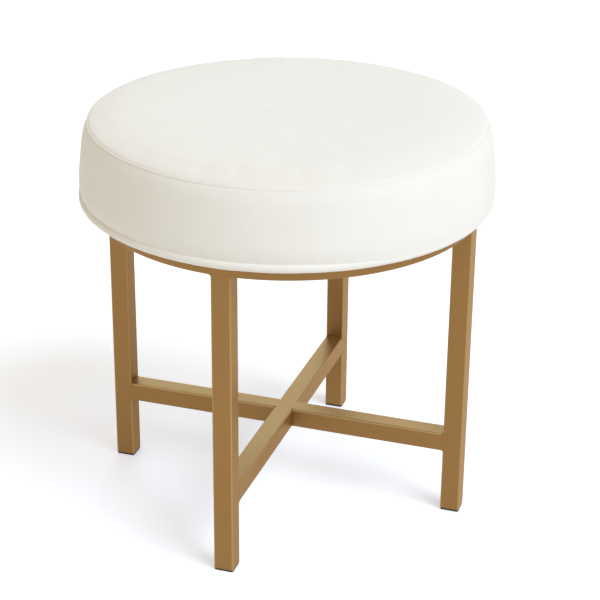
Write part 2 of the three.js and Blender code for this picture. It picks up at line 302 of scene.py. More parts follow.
def select(piece, kind, parts_of, test):
    """Selects the open piece's faces or edges that pass a test, and nothing else."""
    bpy.ops.mesh.select_mode(type=kind)
    bpy.ops.mesh.select_all(action="DESELECT")
    mesh = bmesh.from_edit_mesh(piece.data)
    for part in parts_of(mesh):
        if test(part):
            part.select_set(True)
    mesh.select_flush_mode()
    bmesh.update_edit_mesh(piece.data)


def select_faces(piece, test):
    """Selects the faces of the open piece whose middle and normal pass a test."""
    select(piece, "FACE", lambda mesh: mesh.faces,
           lambda face: test(face.calc_center_median(), face.normal))


def select_edges(piece, test):
    """Selects the edges of the open piece whose two ends pass a test."""
    select(piece, "EDGE", lambda mesh: mesh.edges,
           lambda edge: test(edge.verts[0].co, edge.verts[1].co))


def bevel_edges(piece, test, offset, segments):
    """Rounds the edges of the open piece that pass a test."""
    select_edges(piece, test)
    bpy.ops.mesh.bevel(offset=offset, segments=segments, affect="EDGES")


def face_outwards():
    """Turns every face of the open piece outwards."""
    select_all()
    bpy.ops.mesh.normals_make_consistent(inside=False)


def select_only(piece):
    """Leaves a piece alone selected and active."""
    bpy.ops.object.select_all(action="DESELECT")
    piece.select_set(True)
    bpy.context.view_layer.objects.active = piece


def close(piece, name):
    """Closes the open piece, names it and leaves it alone selected."""
    if bpy.context.object.mode != "OBJECT":
        bpy.ops.object.mode_set(mode="OBJECT")
    select_only(piece)
    bpy.ops.object.transform_apply(location=True, rotation=True, scale=True)
    piece.name = name
    piece.data.name = name
    return piece


def extrude(x, y, z):
    """Extrudes the selected faces by a step."""
    bpy.ops.mesh.extrude_region_move(TRANSFORM_OT_translate={"value": (x, y, z)})


def finish_modifier(piece, kind, **values):
    """Adds a modifier with its values and applies it."""
    select_only(piece)
    modifier = piece.modifiers.new(kind.title(), kind)
    for key, value in values.items():
        setattr(modifier, key, value)
    bpy.ops.object.modifier_apply(modifier=modifier.name)
    return piece


def smooth(piece, angle=HARD_ANGLE):
    """Smooth shading up to an angle, with flat faces kept flat."""
    select_only(piece)
    bpy.ops.object.shade_smooth_by_angle(angle=angle)
    return finish_modifier(piece, "WEIGHTED_NORMAL", keep_sharp=True)


def ring(name, section, edge, segments, steps, centre=(0, 0, 0)):
    """A ring spun about an upright axis. section is (inner, outer, low, high) from it."""
    inner, outer, low, high = section
    piece = begin(
        bpy.ops.mesh.primitive_plane_add,
        size=1,
        location=(centre[0] + (inner + outer) / 2, centre[1], (low + high) / 2),
        rotation=(QUARTER, 0, 0),
        scale=(outer - inner, high - low, 1),
    )
    select_all()
    bpy.ops.mesh.bevel(offset=edge, segments=segments, affect="VERTICES")
    select_all()
    bpy.ops.mesh.delete(type="ONLY_FACE")
    select_all()
    bpy.ops.mesh.spin(steps=steps, angle=2 * math.pi, center=centre, axis=(0, 0, 1))
    select_all()
    bpy.ops.mesh.remove_doubles(threshold=TINY)
    face_outwards()
    return close(piece, name)


def copied(piece, name, turn):
    """A copy of a piece with its own mesh, turned about the stool's upright axis."""
    other = piece.copy()
    other.data = piece.data.copy()
    other.name = name
    other.data.name = name
    bpy.context.scene.collection.objects.link(other)
    other.data.transform(Matrix.Rotation(turn, 4, "Z"))
    return other


def dress(piece, slot):
    """Gives a piece, or a solid of the frame that stays in sight, its slot's material."""
    piece.data.materials.clear()
    piece.data.materials.append(finishes[slot])


def place(piece, slot, *nodes):
    """Gives a finished piece its slot's material and its body, and hides the solids that it
    stands for.
    """
    dress(piece, slot)
    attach(piece, "root")
    if nodes:
        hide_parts(*nodes)
    return piece


def all_round(piece, name, slot, solid=None, sides=SIDES):
    """Places a piece made on the right side there and copies it to the other sides."""
    for turn, side in enumerate(SIDES):
        if side not in sides:
            continue
        title = f"{name}_{side}"
        if turn:
            part = copied(piece, title, turn * QUARTER)
        else:
            part = close(piece, title)
        nodes = [f"{solid}_{side}"] if solid else []
        place(part, slot, *nodes)


# Materials: groups of nodes that the finishes share

def new_group(name, inputs, outputs):
    """An empty node group with named sockets, as (group, input node, output node)."""
    group = bpy.data.node_groups.new(name, "ShaderNodeTree")
    for title, kind, value in inputs:
        socket = group.interface.new_socket(title, in_out="INPUT", socket_type=kind)
        if value is not None:
            socket.default_value = value
    for title, kind in outputs:
        group.interface.new_socket(title, in_out="OUTPUT", socket_type=kind)
    start = group.nodes.new("NodeGroupInput")
    end = group.nodes.new("NodeGroupOutput")
    return group, start, end


def feed(tree, target, value):
    """Gives an input a plain value, or links it when the value is a socket."""
    if isinstance(value, bpy.types.NodeSocket):
        tree.links.new(value, target)
    else:
        target.default_value = value


def node(tree, kind, **values):
    """Adds a node; values set its properties or, by socket name, its inputs."""
    made = tree.nodes.new(kind)
    for key, value in values.items():
        if hasattr(made, key):
            setattr(made, key, value)
        else:
            feed(tree, made.inputs[key.replace("_", " ")], value)
    return made


def maths(tree, operation, first, second=0.0, third=0.0):
    """A maths node; each input is a number or a socket. Gives its output socket."""
    made = node(tree, "ShaderNodeMath", operation=operation)
    for target, value in zip(made.inputs, (first, second, third)):
        feed(tree, target, value)
    return made.outputs[0]


def mottle_group():
    """Two sizes of soft noise, for colour and gloss that drift over a surface."""
    group, start, end = new_group(
        "Mottle",
        [("Vector", "NodeSocketVector", None), ("Broad", "NodeSocketFloat", 8.0),
         ("Fine", "NodeSocketFloat", 120.0), ("Mix", "NodeSocketFloat", 0.4)],
        [("Value", "NodeSocketFloat")],
    )
    vector, broad_scale, fine_scale, share = list(start.outputs)[:4]
    broad = node(group, "ShaderNodeTexNoise", Vector=vector, Scale=broad_scale, Detail=3.0,
                 Roughness=0.55)
    fine = node(group, "ShaderNodeTexNoise", Vector=vector, Scale=fine_scale, Detail=4.0,
                Roughness=0.6)
    blend = node(group, "ShaderNodeMix")
    feed(group, blend.inputs[0], share)
    feed(group, blend.inputs[2], broad.outputs[0])
    feed(group, blend.inputs[3], fine.outputs[0])
    feed(group, end.inputs["Value"], blend.outputs[0])
    return group


def pile_group():
    """Short pile of a velvet: tufts, with a nap that lies in soft patches."""
    group, start, end = new_group(
        "Pile",
        [("Vector", "NodeSocketVector", None), ("Tuft", "NodeSocketFloat", 1500.0),
         ("Patch", "NodeSocketFloat", 14.0)],
        [("Height", "NodeSocketFloat"), ("Nap", "NodeSocketFloat")],
    )
    vector, tuft_scale, patch_scale = list(start.outputs)[:3]
    tuft = node(group, "ShaderNodeTexVoronoi", feature="SMOOTH_F1", Vector=vector,
                Scale=tuft_scale, Smoothness=0.6)
    fibre = node(group, "ShaderNodeTexNoise", Vector=vector, Detail=3.0, Roughness=0.7,
                 Scale=maths(group, "MULTIPLY", tuft_scale, 0.6))
    patch = node(group, "ShaderNodeTexNoise", Vector=vector, Scale=patch_scale, Detail=5.0,
                 Roughness=0.6, Distortion=0.4)
    height = maths(group, "MULTIPLY_ADD", tuft.outputs["Distance"], -0.7, fibre.outputs[0])
    feed(group, end.inputs["Height"], height)
    feed(group, end.inputs["Nap"], patch.outputs[0])
    return group


def new_material(name, **values):
    """A material whose shader has these plain values, as (material, tree, shader, place)."""
    material = bpy.data.materials.new(name)
    material.use_nodes = True
    tree = material.node_tree
    shader = tree.nodes["Principled BSDF"]
    for key, value in values.items():
        shader.inputs[key.replace("_", " ")].default_value = value
    where = tree.nodes.new("ShaderNodeTexCoord").outputs["Object"]
    return material, tree, shader, where


# Where the middle of a soft noise begins and ends: few of its values lie beyond
NOISE_LOW, NOISE_HIGH = 0.3, 0.7


def tinted(tree, shader, colour, factor, low, high):
    """Feeds the shader's colour with one that runs from low to high times colour."""
    ramp = node(tree, "ShaderNodeValToRGB", Fac=factor)
    ends = zip(ramp.color_ramp.elements, (low, high), (NOISE_LOW, NOISE_HIGH))
    for element, share, position in ends:
        element.color = (*[min(1.0, channel * share) for channel in colour], 1)
        element.position = position
    feed(tree, shader.inputs["Base Color"], ramp.outputs["Color"])
    return ramp


def bumped(tree, shader, height, strength, depth):
    """Feeds the shader's normal with a bump of a depth in metres."""
    bump = node(tree, "ShaderNodeBump", Strength=strength, Distance=depth, Height=height)
    feed(tree, shader.inputs["Normal"], bump.outputs["Normal"])


def grouped(tree, group, where, **values):
    """Places a shared group in a material with its own values."""
    return node(tree, "ShaderNodeGroup", node_tree=group, Vector=where, **values)


def drifting(name, mottle, scales, roughness, **values):
    """A material whose roughness drifts, as (material, tree, shader, place, drift).

    scales are the mottle's broad and fine scales, and the share of the fine one.
    """
    material, tree, shader, where = new_material(name, **values)
    broad, fine, share = scales
    drift = grouped(tree, mottle, where, Broad=broad, Fine=fine, Mix=share).outputs[0]
    spread = node(tree, "ShaderNodeMapRange", From_Min=NOISE_LOW, From_Max=NOISE_HIGH,
                  To_Min=roughness[0], To_Max=roughness[1], Value=drift)
    feed(tree, shader.inputs["Roughness"], spread.outputs["Result"])
    return material, tree, shader, where, drift


def plain_material(name, colour, mottle, scales, roughness, tint, bump, **values):
    """A material whose colour, roughness and surface all follow one mottle."""
    material, tree, shader, _, drift = drifting(name, mottle, scales, roughness, **values)
    tinted(tree, shader, colour, drift, *tint)
    bumped(tree, shader, drift, *bump)
    return material


def paint_material(colour, highlight_colour, mottle):
    """Satin gold powder coat, with a fine orange peel, and a painted highlight that lightens
    its corners.
    """
    material, tree, shader, where, drift = drifting(
        "Gold paint", mottle, (9.0, 420.0, 0.45), (0.38, 0.46), Metallic=0.55,
        Specular_IOR_Level=0.35, Specular_Tint=(0.91, 0.71, 0.45, 1.0))
    ramp = tinted(tree, shader, colour, drift, 0.955, 1.045)
    # Painted highlight: the base colour is mixed towards the paler gold where the corners are
    # marked
    corner_highlight = node(tree, "ShaderNodeAttribute", attribute_name="painted_highlight")
    blend = node(tree, "ShaderNodeMixRGB", Fac=corner_highlight.outputs["Fac"],
                 Color1=ramp.outputs["Color"], Color2=(*highlight_colour, 1))
    feed(tree, shader.inputs["Base Color"], blend.outputs["Color"])
    peel = node(tree, "ShaderNodeTexNoise", Vector=where, Scale=950.0, Detail=2.0,
                Roughness=0.45)
    bumped(tree, shader, peel.outputs[0], 0.16, 0.3 * MM)
    return material


def cloth_material(colour, pile, mottle):
    """Cream short pile velvet."""
    material, tree, shader, where, _ = drifting(
        "Cream velvet", mottle, (20.0, 600.0, 0.5), (0.82, 0.94), Sheen_Weight=0.22,
        Sheen_Roughness=0.45, Sheen_Tint=(1.0, 0.985, 0.95, 1.0), Specular_IOR_Level=0.25)
    nap = grouped(tree, pile, where, Tuft=1500.0, Patch=16.0)
    tinted(tree, shader, colour, nap.outputs["Nap"], 0.985, 1.012)
    bumped(tree, shader, nap.outputs["Height"], 0.35, 0.25 * MM)
    return material


def dust_material(mottle):
    """Black non-woven cloth, with the small dots that its fibres are pressed into."""
    material, tree, shader, where, drift = drifting(
        "Dust cloth", mottle, (60.0, 900.0, 0.65), (0.85, 0.97), Specular_IOR_Level=0.3)
    tinted(tree, shader, (0.02, 0.02, 0.021), drift, 0.6, 1.6)
    dots = node(tree, "ShaderNodeTexVoronoi", feature="F1", Vector=where, Scale=700.0,
                Randomness=0.15)
    bumped(tree, shader, dots.outputs["Distance"], 0.4, 0.3 * MM)
    return material


def plywood_material(mottle):
    """Birch plywood: long grain on the faces and thin plies round the edge."""
    material, tree, shader, where, _ = drifting(
        "Plywood", mottle, (12.0, 240.0, 0.5), (0.68, 0.82))
    stretch = node(tree, "ShaderNodeMapping", Vector=where, Scale=(4.0, 60.0, 500.0))
    grain = node(tree, "ShaderNodeTexNoise", Vector=stretch.outputs[0], Scale=1.5, Detail=6.0,
                 Roughness=0.6)
    tinted(tree, shader, (0.56, 0.39, 0.22), grain.outputs[0], 0.78, 1.12)
    bumped(tree, shader, grain.outputs[0], 0.2, 0.3 * MM)
    return material


class STOOL_OT_finishes(bpy.types.Operator):
    """Makes the materials of the stool"""

    bl_idname = "stool.finishes"
    bl_label = "Finishes"

    def execute(self, context):
        colours = settings("stool_finishes")
        mottle = mottle_group()
        finishes["gold_paint"] = paint_material(colours.paint, colours.painted_highlight, mottle)
        finishes["seat_fabric"] = cloth_material(colours.cloth, pile_group(), mottle)
        finishes["dust_cloth"] = dust_material(mottle)
        finishes["plywood"] = plywood_material(mottle)
        finishes["black_plastic"] = plain_material(
            "Black plastic", colours.plastic, mottle, (90.0, 1400.0, 0.5), (0.5, 0.68),
            (0.7, 1.5), (0.2, 0.2 * MM))
        finishes["zinc_steel"] = plain_material(
            "Zinc plate", colours.zinc, mottle, (140.0, 1600.0, 0.4), (0.24, 0.42),
            (0.86, 1.1), (0.08, 0.2 * MM), Metallic=1.0)
        finishes["batting"] = plain_material(
            "Wadding", (0.86, 0.86, 0.85), mottle, (80.0, 700.0, 0.6), (0.9, 1.0),
            (0.92, 1.05), (0.6, 1.2 * MM), Specular_IOR_Level=0.2)
        return {"FINISHED"}


# Frame

class STOOL_OT_hoop(bpy.types.Operator):
    """Builds the hoop under the seat"""

    bl_idname = "stool.hoop"
    bl_label = "Hoop"

    def execute(self, context):
        sizes = settings("stool_frame")
        section = (hoop_inner, hoop_radius, hoop_low.z, hoop_high.z)
        hoop = ring("painted_hoop", section, sizes.hoop_edge, segments=4, steps=180)
        place(smooth(hoop), "gold_paint", "frame_hoop")
        return {"FINISHED"}


# How strong the painted highlight on the corners is at most, and how fast it rises towards them
LEG_HIGHLIGHT, HALF_HIGHLIGHT, HIGHLIGHT_RISE = 0.46, 1.0, 1.7


def painted_highlight(piece, side, middle, size, corner, most):
    """Marks a painted highlight on the rounded corners, on level tubes only on top."""
    marks = piece.data.attributes.new("painted_highlight", "FLOAT", "POINT")
    for vertex, mark in zip(piece.data.vertices, marks.data):
        past = corner + min(
            abs(vertex.co[axis] - middle[axis]) - size[axis] / 2 for axis in side)
        # On level tubes only the upper corners get the painted highlight
        beneath = Z in side and vertex.co.z < middle.z
        corner_highlight = min(1.0, max(0.0, HIGHLIGHT_RISE * past / corner))
        mark.value = 0.0 if beneath else most * corner_highlight


# Least share of a normal along an axis, on a face that looks that way
FACING = 0.99


def square_tube(name, low, high, along, wall, corner, corner_highlight, end_edge=0.0):
    """A square tube that fills a box and is open at both ends of the axis along."""
    size = high - low
    middle = (low + high) / 2
    piece = begin_box(low, high)
    side = [axis for axis in range(3) if axis != along]

    def lengthwise(a, b):
        return all(abs(a[axis] - b[axis]) < TINY for axis in side)

    def at_low_end(a, b):
        return max(a[along], b[along]) < low[along] + TINY

    bevel_edges(piece, lengthwise, corner, 6)
    if end_edge:
        bevel_edges(piece, at_low_end, end_edge, 2)
    select_faces(piece, lambda at, normal: abs(normal[along]) > FACING)
    bpy.ops.mesh.inset(thickness=wall - end_edge, depth=0)
    bpy.ops.mesh.bridge_edge_loops()
    face_outwards()
    smooth(close(piece, name))
    painted_highlight(piece, side, middle, size, corner, corner_highlight)
    return piece


class STOOL_OT_legs(bpy.types.Operator):
    """Builds the four legs"""

    bl_idname = "stool.legs"
    bl_label = "Legs"

    def execute(self, context):
        sizes = settings("stool_frame")
        leg = square_tube(
            "painted_leg", leg_low, leg_high, Z, sizes.wall, sizes.corner, LEG_HIGHLIGHT,
            sizes.end_edge)
        all_round(leg, "painted_leg", "gold_paint", "leg")
        return {"FINISHED"}


class STOOL_OT_stretchers(bpy.types.Operator):
    """Builds the through stretcher and the two half stretchers"""

    bl_idname = "stool.stretchers"
    bl_label = "Stretchers"

    def execute(self, context):
        sizes = settings("stool_frame")
        through = square_tube(
            "painted_stretcher_through", through_low, through_high, Y, sizes.wall,
            sizes.corner, LEG_HIGHLIGHT)
        place(through, "gold_paint", "stretcher_through")
        half = square_tube(
            "painted_half", half_low, half_high, X, sizes.wall, sizes.corner, HALF_HIGHLIGHT)
        all_round(half, "painted_stretcher_half", "gold_paint",
                  "stretcher_half", ("right", "left"))
        return {"FINISHED"}


def collar(name, sections, axis, corner):
    """A weld bead: a section with rounded corners that is drawn along an axis.

    Each section is (place along the axis, low corner, high corner), with the corners in
    the two other axes.
    """
    across = [a for a in range(3) if a != axis]
    first, low, high = sections[0]
    centre = [0.0, 0.0, 0.0]
    centre[axis] = first
    for index, other in enumerate(across):
        centre[other] = (low[index] + high[index]) / 2
    scale = (high[0] - low[0], high[1] - low[1], 1)
    turn = (0, 0, 0)
    if axis == X:
        turn = (QUARTER, 0, QUARTER)
    piece = begin(
        bpy.ops.mesh.primitive_plane_add, size=1, location=centre, rotation=turn, scale=scale)
    select_all()
    bpy.ops.mesh.bevel(offset=corner, segments=4, affect="VERTICES")
    for (at, low, high), (last_at, last_low, last_high) in zip(sections[1:], sections):
        select_faces(piece, lambda middle, normal: abs(middle[axis] - last_at) < 0.1 * TINY)
        move = [0.0, 0.0, 0.0]
        move[axis] = at - last_at
        factor = [1.0, 1.0, 1.0]
        pivot = [0.0, 0.0, 0.0]
        pivot[axis] = at
        for index, other in enumerate(across):
            factor[other] = (high[index] - low[index]) / (last_high[index] - last_low[index])
            move[other] = (low[index] + high[index] - last_low[index] - last_high[index]) / 2
            pivot[other] = (low[index] + high[index]) / 2
        extrude(*move)
        bpy.ops.transform.resize(value=factor, center_override=pivot)
    face_outwards()
    return smooth(close(piece, name))


def fillet(reach, steps=5):
    """Pairs of (distance from the face, height above the tube) on a hollow round fillet."""
    pairs = []
    for step in range(steps + 1):
        angle = QUARTER * step / steps
        pairs.append((reach * (1 - math.cos(angle)), reach * (1 - math.sin(angle))))
    return pairs


def bead_round(name, section, start, face, way, reach, axis, corner, sides=SIDES):
    """A bead that comes out of a joint and runs hollow over its face, copied to the sides.

    section gives the (low, high) corners of the bead for a height above the tube. start is
    where the bead begins inside the joint, and way is 1 or -1, its direction from the face.
    """
    sections = [(start, *section(reach))]
    sections += [(face + way * out, *section(rise)) for out, rise in fillet(reach)]
    all_round(collar(name, sections, axis, corner), name, "gold_paint", sides=sides)


class STOOL_OT_welds(bpy.types.Operator):
    """Builds the painted welds between the hoop, the legs and the stretchers"""

    bl_idname = "stool.welds"
    bl_label = "Welds"

    def execute(self, context):
        sizes = settings("stool_frame")
        skin, corner = sizes.weld_skin, sizes.corner
        # The bead's share on a leg's left and right, on top of a stretcher, and in the middle
        left, right, above, small = 1.15, 0.4, 0.3, 0.5

        def under_hoop(rise):
            low = (leg_low.x - skin - rise, leg_low.y - skin - rise * left)
            return low, (leg_high.x + skin, leg_high.y + skin + rise * right)

        def at_leg(rise):
            low = (half_low.y - skin, half_low.z - skin - rise)
            return low, (half_high.y + skin, half_high.z + skin + rise * above)

        def in_middle(rise):
            low = (half_low.y + corner / 2, half_low.z - skin - rise)
            return low, (half_high.y - corner / 2, half_high.z + skin)

        bead_round("painted_weld_hoop", under_hoop, hoop_low.z + sizes.hoop_edge,
                   hoop_low.z, -1, sizes.weld, Z, corner)
        bead_round("painted_weld_stretcher", at_leg, leg_low.x + corner,
                   leg_low.x, -1, sizes.weld, X, corner)
        bead_round("painted_weld_middle", in_middle, tube_width / 2 - corner,
                   tube_width / 2, 1, sizes.weld * small, X, corner, ("right", "left"))
        return {"FINISHED"}


class STOOL_OT_glides(bpy.types.Operator):
    """Builds the plastic glides in the legs' ends"""

    bl_idname = "stool.glides"
    bl_label = "Glides"

    def execute(self, context):
        sizes = settings("stool_frame")
        edge, play, plug_wall = 0.6 * MM, 0.6 * MM, 2 * MM
        head_top = leg_low.z - GAP
        glide = begin_box(Vector((*glide_low.xy, 0)), Vector((*glide_high.xy, head_top)))
        bevel_edges(glide, is_upright, sizes.corner, 5)
        bevel_edges(glide, is_level, edge, 3)
        select_faces(glide, lambda at, normal: at.z > head_top - TINY)
        plug_width = tube_width - 2 * sizes.wall - play
        bpy.ops.mesh.inset(thickness=(glide_high.x - glide_low.x - plug_width) / 2 - edge)
        extrude(0, 0, glide_high.z - head_top)
        bpy.ops.mesh.inset(thickness=plug_wall)
        extrude(0, 0, head_top - glide_high.z)
        smooth(close(glide, "glide"))
        all_round(glide, "glide", "black_plastic", "leg_glide")
        return {"FINISHED"}


# Seat fixings

def cut(piece, radius, centre, low, high, steps=32):
    """Cuts an upright round or many sided hole in a finished piece."""
    tool = begin(
        bpy.ops.mesh.primitive_cylinder_add, vertices=steps, radius=radius,
        depth=high - low, location=(centre[0], centre[1], (low + high) / 2))
    tool = close(tool, "cutter")
    finish_modifier(piece, "BOOLEAN", operation="DIFFERENCE", object=tool, solver="EXACT")
    bpy.data.objects.remove(tool)
    return piece


class STOOL_OT_tabs(bpy.types.Operator):
    """Builds the lugs inside the hoop that take the seat's bolts"""

    bl_idname = "stool.tabs"
    bl_label = "Mounting tabs"

    def execute(self, context):
        # Just short of a full half round, so that its two corners stay apart
        edge, nearly = 0.4 * MM, 0.998
        inner, outer = tab_low.x + TINY, tab_high.x - TINY
        tab = begin_box(tab_low, tab_high)
        round_end = (tab_high.y - tab_low.y) / 2 * nearly
        bevel_edges(
            tab, lambda a, b: is_upright(a, b) and max(a.x, b.x) < inner, round_end, 14)
        bevel_edges(tab, lambda a, b: is_level(a, b) and min(a.x, b.x) < outer, edge, 2)
        close(tab, "painted_tab")
        cut(tab, BOLT_HOLE, (bolt_radius, 0), tab_low.z - MM, tab_high.z + MM)
        all_round(smooth(tab), "painted_tab", "gold_paint", "mounting_tab")
        self.beads()
        return {"FINISHED"}

    def beads(self):
        """A short weld bead along each tab's end, under the hoop's inner face."""
        reach, short, corner = 1.6 * MM, 2 * MM, 0.6 * MM
        skin = settings("stool_frame").weld_skin
        low_y, high_y, top = tab_low.y + short, tab_high.y - short, tab_low.z + MM
        face = math.sqrt(hoop_inner ** 2 - high_y ** 2)
        sections = [(hoop_inner + corner, (low_y, tab_low.z - reach), (high_y, top))]
        for out, rise in fillet(reach):
            low = (low_y + out, tab_low.z - skin - rise)
            sections.append((face - out, low, (high_y - out, top)))
        bead = collar("painted_weld_tab", sections, X, corner)
        all_round(bead, "painted_weld_tab", "gold_paint")


class STOOL_OT_fixings(bpy.types.Operator):
    """Builds the washers and bolts that hold the seat, and finishes the nuts above them"""

    bl_idname = "stool.fixings"
    bl_label = "Fixings"

    def execute(self, context):
        centre = (bolt_radius, 0, 0)
        edge = 0.25 * MM
        section = (BOLT_HOLE, (washer_high.x - washer_low.x) / 2, washer_low.z, washer_high.z)
        washer = ring("washer", section, edge, segments=2, steps=40, centre=centre)
        all_round(smooth(washer), "washer", "zinc_steel", "seat_washer")
        all_round(self.bolt(), "bolt", "zinc_steel", "seat_bolt")
        for side in SIDES:
            dress(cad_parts[f"seat_tee_nut_{side}"], "zinc_steel")
        return {"FINISHED"}

    def bolt(self):
        """A button head bolt, head down, with a six sided socket."""
        shank, socket, depth, dome = 3 * MM, 2.3 * MM, 2 * MM, 0.68
        radius = (bolt_high.x - bolt_low.x) / 2
        seat = washer_low.z - GAP
        head = seat - bolt_low.z
        bolt = begin(
            bpy.ops.mesh.primitive_cylinder_add, vertices=40, radius=radius, depth=head,
            location=(bolt_radius, 0, seat - head / 2))
        bevel_edges(bolt, lambda a, b: max(a.z, b.z) < bolt_low.z + TINY, head * dome, 6)
        select_faces(bolt, lambda at, normal: at.z > seat - TINY)
        bpy.ops.mesh.inset(thickness=radius - shank)
        extrude(0, 0, bolt_high.z - seat)
        close(bolt, "bolt")
        cut(bolt, socket, (bolt_radius, 0), bolt_low.z - MM, bolt_low.z + depth, steps=6)
        return smooth(bolt)


class STOOL_OT_board(bpy.types.Operator):
    """Finishes the plywood board in the seat"""

    bl_idname = "stool.board"
    bl_label = "Seat board"

    def execute(self, context):
        dress(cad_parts["seat_board"], "plywood")
        return {"FINISHED"}


# Cloth under the seat

def rippled(piece, height, waves, seed, reach):
    """Moves a piece's points up and down in ripples that grow from one radius to another."""
    for vertex in piece.data.vertices:
        point = vertex.co
        turn = math.atan2(point.y, point.x)
        radius = math.hypot(point.x, point.y)
        wave = noise.noise(Vector((math.cos(turn), math.sin(turn), seed)) * waves)
        share = min(1.0, max(0.0, (radius - reach[0]) / (reach[1] - reach[0])))
        point.z += height * wave * share
    return piece


# Width of the hem, and thickness of both cloths
HEM_WIDTH = 60 * MM
HEM_THICK = 0.8 * MM
DUST_THICK = 0.3 * MM


class STOOL_OT_hem(bpy.types.Operator):
    """Builds the gathered edge of the cover under the board"""

    bl_idname = "stool.hem"
    bl_label = "Cover hem"

    def execute(self, context):
        inner, outer = board_high.x - HEM_WIDTH, board_high.x
        rings = 10
        hem = begin_disc(outer, (hem_low.z + hem_high.z) / 2, 480, rings, HEM_WIDTH / rings)
        bpy.ops.mesh.delete(type="FACE")
        close(hem, "cover_hem")
        rippled(hem, height=0.55 * MM, waves=34, seed=3.1, reach=(outer, inner))
        finish_modifier(hem, "SOLIDIFY", thickness=HEM_THICK, offset=0.0)
        smooth(hem, SOFT_ANGLE)
        place(hem, "seat_fabric", "seat_cover_hem")
        return {"FINISHED"}


class STOOL_OT_dust_cover(bpy.types.Operator):
    """Builds the black cloth under the seat and its staples"""

    bl_idname = "stool.dust_cover"
    bl_label = "Dust cover"

    def execute(self, context):
        radius = dust_high.x
        rings, rim = 24, 6 * MM
        height = (dust_low.z + dust_high.z) / 2
        cloth = begin_disc(radius, height, 240, rings - 1, radius / rings)
        bpy.ops.mesh.poke()
        close(cloth, "dust_cover_cloth")
        finish_modifier(cloth, "SOLIDIFY", thickness=DUST_THICK, offset=0.0)
        smooth(cloth, SOFT_ANGLE)
        place(cloth, "dust_cloth", "seat_dust_cover")
        self.staples(radius - rim, dust_low.z)
        return {"FINISHED"}

    def staples(self, radius, height):
        """Flat wire staples round the edge, clear of the tabs."""
        count, edge = 24, 0.15 * MM
        middle, half = Vector((radius, 0, height)), Vector((1.1, 10, 0.5)) * MM / 2
        staple = begin_box(middle - half, middle + half)
        bevel_edges(staple, is_level, edge, 2)
        smooth(close(staple, "staple"))
        for index in range(count):
            turn = 2 * math.pi * (index + 0.5) / count
            place(copied(staple, f"staple_{index + 1:02d}", turn), "zinc_steel")
        bpy.data.objects.remove(staple)


# Cushion

def disc_point(across, up):
    """A point of the square from -1 to 1, moved to the unit disc."""
    if across == 0 and up == 0:
        return 0.0, 0.0
    if abs(across) >= abs(up):
        turn = QUARTER / 2 * up / across
        return across * math.cos(turn), across * math.sin(turn)
    turn = QUARTER / 2 * across / up
    return up * math.sin(turn), up * math.cos(turn)


# Cells across the cushion and rows up its band, and how its cells crowd at the rim
CELLS = 72
BAND_ROWS = 16
CROWD_POWER = 1.5
# How square the crown and the band's bulge are, and where the shoulder stands out most
CROWN_POWER = 4
BULGE_POWER = 6
SHOULDER_HEIGHT = 0.19
# How far the welt's tuck reaches to either side, and the last part in which it fades
TUCK_REACH = math.radians(85)
TUCK_FADE = math.radians(40)
# How far from a seam the cloth is drawn: at the closing seam, the top seam and the welt
CLOSING_REACH = 1.6 * MM
SHUT_REACH = 3.5 * MM
COVER_REACH = 14 * MM
# The cushion's parts, the frames in which they fill, and how the cover's cloth behaves
TOP, BAND, FOOT = range(3)
FILL_FRAMES = 20
CLOTH = {
    "quality": 6, "mass": 0.25, "tension_stiffness": 25, "compression_stiffness": 25,
    "shear_stiffness": 8, "bending_stiffness": 0.4, "tension_damping": 10,
    "compression_damping": 10, "use_pressure": True, "uniform_pressure_force": 4,
    "vertex_group_mass": "held",
}


def crown_height(share):
    """Height of the cover's top over its seam, as a share, at a share of the seam's radius."""
    return math.sqrt(max(0.0, 1 - share ** CROWN_POWER))


def shoulder(height):
    """How far the crown stands out at a share of its height: up to 1, low on the shoulder."""
    reach = height / SHOULDER_HEIGHT
    return reach * math.exp((1 - reach ** 2) / 2)


def band_radius(share, sizes):
    """Radius of the cover's side at a share of the height from foot to top seam."""
    straight = sizes.foot_radius + (sizes.seam_radius - sizes.foot_radius) * share
    bulge = sizes.widest_radius - (sizes.foot_radius + sizes.seam_radius) / 2
    return straight + bulge * (1 - abs(2 * share - 1) ** BULGE_POWER)


def seam_sway(x, y, sizes):
    """How far the top seam stands above its level in a direction from the axis."""
    return sizes.sway * math.cos(2 * (math.atan2(y, x) - sizes.sway_turn))


def tucked(turn, sizes):
    """How much of the welt's tuck there is in a direction from the axis: 0 to 1."""
    away = abs(math.remainder(turn - sizes.tuck_turn, math.tau))
    share = min(1.0, max(0.0, (TUCK_REACH - away) / TUCK_FADE))
    return share * share * (3 - 2 * share)


def disc_faces(mesh, radius, point_at, part, flip):
    """A disc of four sided cells, closest together at the rim, as the rim's points in order."""
    points = {}
    for i in range(CELLS + 1):
        for j in range(CELLS + 1):
            x, y = disc_point(2 * i / CELLS - 1, 2 * j / CELLS - 1)
            even = math.hypot(x, y)
            share = 1 - max(0.0, 1 - even) ** CROWD_POWER
            out, height = point_at(x, y, share)
            spread = (radius * share + out) / even if even else 0.0
            points[i, j] = mesh.verts.new((x * spread, y * spread, height))
    for i in range(CELLS):
        for j in range(CELLS):
            loop = [points[i, j], points[i + 1, j], points[i + 1, j + 1], points[i, j + 1]]
            face = mesh.faces.new(loop[::-1] if flip else loop)
            face.material_index = part
    last = CELLS
    rim = [points[i, 0] for i in range(last)] + [points[last, j] for j in range(last)]
    rim += [points[i, last] for i in range(last, 0, -1)]
    rim += [points[0, j] for j in range(last, 0, -1)]
    return rim


